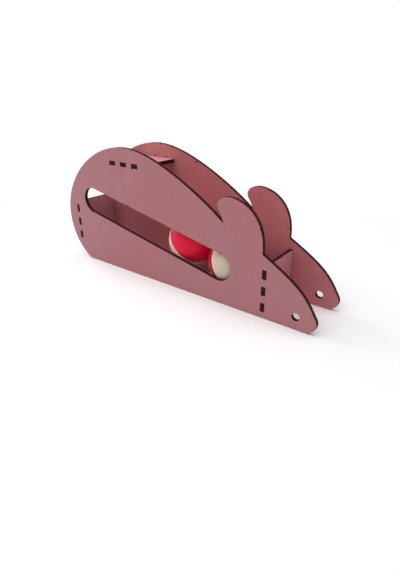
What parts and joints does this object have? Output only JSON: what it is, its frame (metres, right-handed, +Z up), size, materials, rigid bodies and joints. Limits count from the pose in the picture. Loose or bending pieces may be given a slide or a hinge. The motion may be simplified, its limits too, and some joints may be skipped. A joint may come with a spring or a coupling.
{
  "type": "cat ball track toy",
  "caption": "Mouse-shaped flat-pack wooden track toy for cats: slotted side panels on tabbed cross panels, with two-tone balls trapped in a sloping track.",
  "frame": {"origin": "centre of the footprint, at the bottom of the side panels, on the surface that the toy stands on", "axes": "+X along the body towards the mouse's nose, +Y across the panels to the mouse's left, +Z up"},
  "size_m": [0.2482, 0.043, 0.1053],
  "materials": {
    "rose_board": "matte dusty rose paint on thin board, with dark laser-burnt edges",
    "red_plastic": "smooth red plastic",
    "cream_plastic": "smooth cream plastic"
  },
  "bodies": {
    "frame": {"right_side_panel": "rose_board", "left_side_panel": "rose_board", "top_cross_panel": "rose_board", "tail_cross_panel": "rose_board", "nose_cross_panel": "rose_board"},
    "lower_ball": {"lower_ball_red_half": "red_plastic", "lower_ball_cream_half": "cream_plastic"},
    "upper_ball": {"upper_ball_red_half": "red_plastic", "upper_ball_cream_half": "cream_plastic"}
  },
  "joints": [
    {"name": "lower_ball_travel", "type": "slide", "parent": "frame", "child": "lower_ball", "axis": [-0.9791, 0, 0.2035], "range_m": [0, 0.0975]},
    {"name": "upper_ball_travel", "type": "slide", "parent": "frame", "child": "upper_ball", "axis": [-0.9791, 0, 0.2035], "range_m": [0, 0.0975]}
  ],
  "couplings": [
    {"joint": "upper_ball_travel", "follows": "lower_ball_travel", "ratio": 1}
  ]
}
